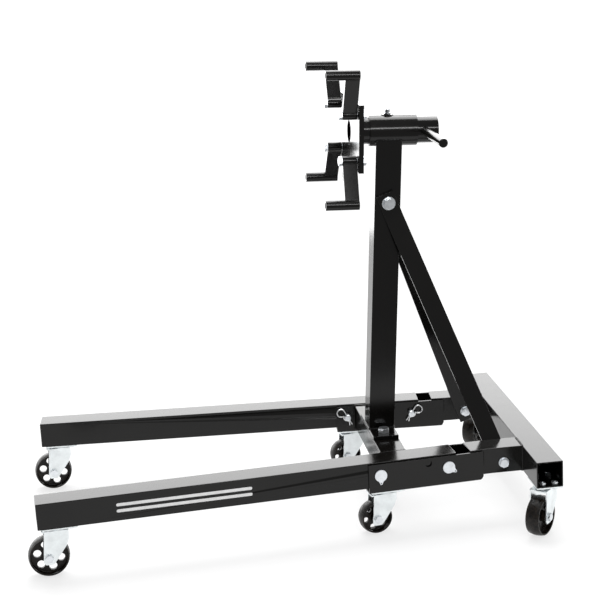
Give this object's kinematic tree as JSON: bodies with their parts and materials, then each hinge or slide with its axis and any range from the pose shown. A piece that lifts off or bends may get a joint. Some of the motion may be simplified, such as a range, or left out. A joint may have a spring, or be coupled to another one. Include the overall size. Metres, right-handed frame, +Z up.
{
  "type": "engine stand",
  "caption": "Folding engine stand: splayed legs on swivel casters, a braced leaning post, and a turning head with swinging finger arms for bolting up an engine.",
  "frame": {"origin": "on the floor, in the centre plane, below the foot of the post", "axes": "+Z up; -X towards the front, where the long legs and the mounting plate point; -Y is the left side of the stand"},
  "size_m": [1.1821, 0.7011, 1.0429],
  "materials": {
    "black_paint": "gloss",
    "zinc_fasteners": "bright zinc plate",
    "zinc_casters": "bright zinc plate",
    "zinc_pins": "bright zinc plate",
    "wheel_plastic": "semi-gloss"
  },
  "bodies": {
    "base": {"rear_crossbar": "black_paint", "rear_stub_left": "black_paint", "rear_stub_right": "black_paint", "side_channel_left": "black_paint", "side_channel_right": "black_paint", "mid_crossbar": "black_paint", "post": "black_paint", "post_foot": "black_paint", "post_foot_bolts": "zinc_fasteners", "head_sleeve": "black_paint", "lock_boss": "black_paint", "lock_nut": "zinc_fasteners", "brace_left": "black_paint", "brace_right": "black_paint", "brace_top_bolt": "zinc_fasteners", "brace_foot_bolts": "zinc_fasteners", "rear_caster_plates": "zinc_casters", "mid_caster_plates": "zinc_casters", "base_caster_bolts": "zinc_fasteners"},
    "head": {"spindle": "black_paint", "mounting_plate": "black_paint", "arm_pivot_bolts": "zinc_fasteners"},
    "turning_bar": {"turning_bar": "black_paint"},
    "lock_bolt": {"lock_bolt": "zinc_fasteners"},
    "arm_upper_left": {"arm_upper_left": "black_paint"},
    "arm_upper_right": {"arm_upper_right": "black_paint"},
    "arm_lower_left": {"arm_lower_left": "black_paint"},
    "arm_lower_right": {"arm_lower_right": "black_paint"},
    "leg_left": {"leg_tube_left": "black_paint", "leg_caster_plate_left": "zinc_casters", "leg_caster_bolts_left": "zinc_fasteners"},
    "leg_right": {"leg_tube_right": "black_paint", "leg_caster_plate_right": "zinc_casters", "leg_caster_bolts_right": "zinc_fasteners"},
    "lock_pin_left": {"lock_pin_left": "zinc_pins", "lock_clip_left": "zinc_pins"},
    "lock_pin_right": {"lock_pin_right": "zinc_pins", "lock_clip_right": "zinc_pins"},
    "pivot_pin_left": {"pivot_pin_left": "zinc_pins", "pivot_clip_left": "zinc_pins"},
    "pivot_pin_right": {"pivot_pin_right": "zinc_pins", "pivot_clip_right": "zinc_pins"},
    "fork_front_left": {"fork_front_left": "zinc_casters", "axle_front_left": "zinc_fasteners"},
    "wheel_front_left": {"wheel_front_left": "wheel_plastic"},
    "fork_front_right": {"fork_front_right": "zinc_casters", "axle_front_right": "zinc_fasteners"},
    "wheel_front_right": {"wheel_front_right": "wheel_plastic"},
    "fork_mid_left": {"fork_mid_left": "zinc_casters", "axle_mid_left": "zinc_fasteners"},
    "wheel_mid_left": {"wheel_mid_left": "wheel_plastic"},
    "fork_mid_right": {"fork_mid_right": "zinc_casters", "axle_mid_right": "zinc_fasteners"},
    "wheel_mid_right": {"wheel_mid_right": "wheel_plastic"},
    "fork_rear_left": {"fork_rear_left": "zinc_casters", "axle_rear_left": "zinc_fasteners"},
    "wheel_rear_left": {"wheel_rear_left": "wheel_plastic"},
    "fork_rear_right": {"fork_rear_right": "zinc_casters", "axle_rear_right": "zinc_fasteners"},
    "wheel_rear_right": {"wheel_rear_right": "wheel_plastic"}
  },
  "joints": [
    {"name": "head_turn", "type": "hinge", "parent": "base", "child": "head", "pos_m": [0.04417, 0, 0.8825], "axis": [0.999, 0, -0.0454], "continuous": true},
    {"name": "bar_slide", "type": "slide", "parent": "head", "child": "turning_bar", "axis": [0, 1, 0], "range_m": [-0.12, 0.12]},
    {"name": "lock_bolt_turn", "type": "hinge", "parent": "base", "child": "lock_bolt", "pos_m": [0.04598, 0, 0.92246], "axis": [0.0454, 0, 0.999], "continuous": true},
    {"name": "arm_upper_left_swing", "type": "hinge", "parent": "head", "child": "arm_upper_left", "pos_m": [-0.05791, -0.106, 0.93819], "axis": [-0.999, 0, 0.0454], "range_deg": [-65.7, 69.3]},
    {"name": "arm_upper_right_swing", "type": "hinge", "parent": "head", "child": "arm_upper_right", "pos_m": [-0.05791, 0.106, 0.93819], "axis": [0.999, 0, -0.0454], "range_deg": [-53.8, 81.2]},
    {"name": "arm_lower_left_swing", "type": "hinge", "parent": "head", "child": "arm_lower_left", "pos_m": [-0.06254, -0.106, 0.83629], "axis": [0.999, 0, -0.0454], "range_deg": [-65.7, 69.3]},
    {"name": "arm_lower_right_swing", "type": "hinge", "parent": "head", "child": "arm_lower_right", "pos_m": [-0.06254, 0.106, 0.83629], "axis": [-0.999, 0, 0.0454], "range_deg": [-53.8, 81.2]},
    {"name": "leg_fold_left", "type": "hinge", "parent": "base", "child": "leg_left", "pos_m": [0.112, -0.199, 0.146], "axis": [-0.0767, 0.9971, 0], "range_deg": [0, 86]},
    {"name": "leg_fold_right", "type": "hinge", "parent": "base", "child": "leg_right", "pos_m": [0.112, 0.199, 0.146], "axis": [0.0767, 0.9971, 0], "range_deg": [0, 86]},
    {"name": "lock_pin_left_turn", "type": "hinge", "parent": "base", "child": "lock_pin_left", "pos_m": [-0.04603, -0.21116, 0.146], "axis": [-0.0767, 0.9971, 0], "range_deg": [-5, 50]},
    {"name": "lock_pin_right_turn", "type": "hinge", "parent": "base", "child": "lock_pin_right", "pos_m": [-0.04603, 0.21116, 0.146], "axis": [0.0767, 0.9971, 0], "range_deg": [-5, 50]},
    {"name": "pivot_pin_left_turn", "type": "hinge", "parent": "base", "child": "pivot_pin_left", "pos_m": [0.112, -0.199, 0.146], "axis": [-0.0767, 0.9971, 0], "continuous": true},
    {"name": "pivot_pin_right_turn", "type": "hinge", "parent": "base", "child": "pivot_pin_right", "pos_m": [0.112, 0.199, 0.146], "axis": [0.0767, 0.9971, 0], "continuous": true},
    {"name": "swivel_front_left", "type": "hinge", "parent": "leg_left", "child": "fork_front_left", "pos_m": [-0.75942, -0.26605, 0.1], "axis": [0, 0, 1], "continuous": true},
    {"name": "roll_front_left", "type": "hinge", "parent": "fork_front_left", "child": "wheel_front_left", "pos_m": [-0.78736, -0.26801, 0.0455], "axis": [-0.0698, 0.9976, 0], "continuous": true},
    {"name": "swivel_front_right", "type": "hinge", "parent": "leg_right", "child": "fork_front_right", "pos_m": [-0.75942, 0.26605, 0.1], "axis": [0, 0, 1], "continuous": true},
    {"name": "roll_front_right", "type": "hinge", "parent": "fork_front_right", "child": "wheel_front_right", "pos_m": [-0.78736, 0.2641, 0.0455], "axis": [-0.0698, 0.9976, 0], "continuous": true},
    {"name": "swivel_mid_left", "type": "hinge", "parent": "base", "child": "fork_mid_left", "pos_m": [-0.02908, -0.20986, 0.1], "axis": [0, 0, 1], "continuous": true},
    {"name": "roll_mid_left", "type": "hinge", "parent": "fork_mid_left", "child": "wheel_mid_left", "pos_m": [-0.05469, -0.21437, 0.038], "axis": [-0.1736, 0.9848, 0], "continuous": true},
    {"name": "swivel_mid_right", "type": "hinge", "parent": "base", "child": "fork_mid_right", "pos_m": [-0.02908, 0.20986, 0.1], "axis": [0, 0, 1], "continuous": true},
    {"name": "roll_mid_right", "type": "hinge", "parent": "fork_mid_right", "child": "wheel_mid_right", "pos_m": [-0.05469, 0.20534, 0.038], "axis": [-0.1736, 0.9848, 0], "continuous": true},
    {"name": "swivel_rear_left", "type": "hinge", "parent": "base", "child": "fork_rear_left", "pos_m": [0.319, -0.3, 0.1], "axis": [0, 0, 1], "continuous": true},
    {"name": "roll_rear_left", "type": "hinge", "parent": "fork_rear_left", "child": "wheel_rear_left", "pos_m": [0.30026, -0.32081, 0.0455], "axis": [-0.7431, 0.6691, 0], "continuous": true},
    {"name": "swivel_rear_right", "type": "hinge", "parent": "base", "child": "fork_rear_right", "pos_m": [0.319, 0.3, 0.1], "axis": [0, 0, 1], "continuous": true},
    {"name": "roll_rear_right", "type": "hinge", "parent": "fork_rear_right", "child": "wheel_rear_right", "pos_m": [0.30026, 0.27919, 0.0455], "axis": [-0.7431, 0.6691, 0], "continuous": true}
  ]
}
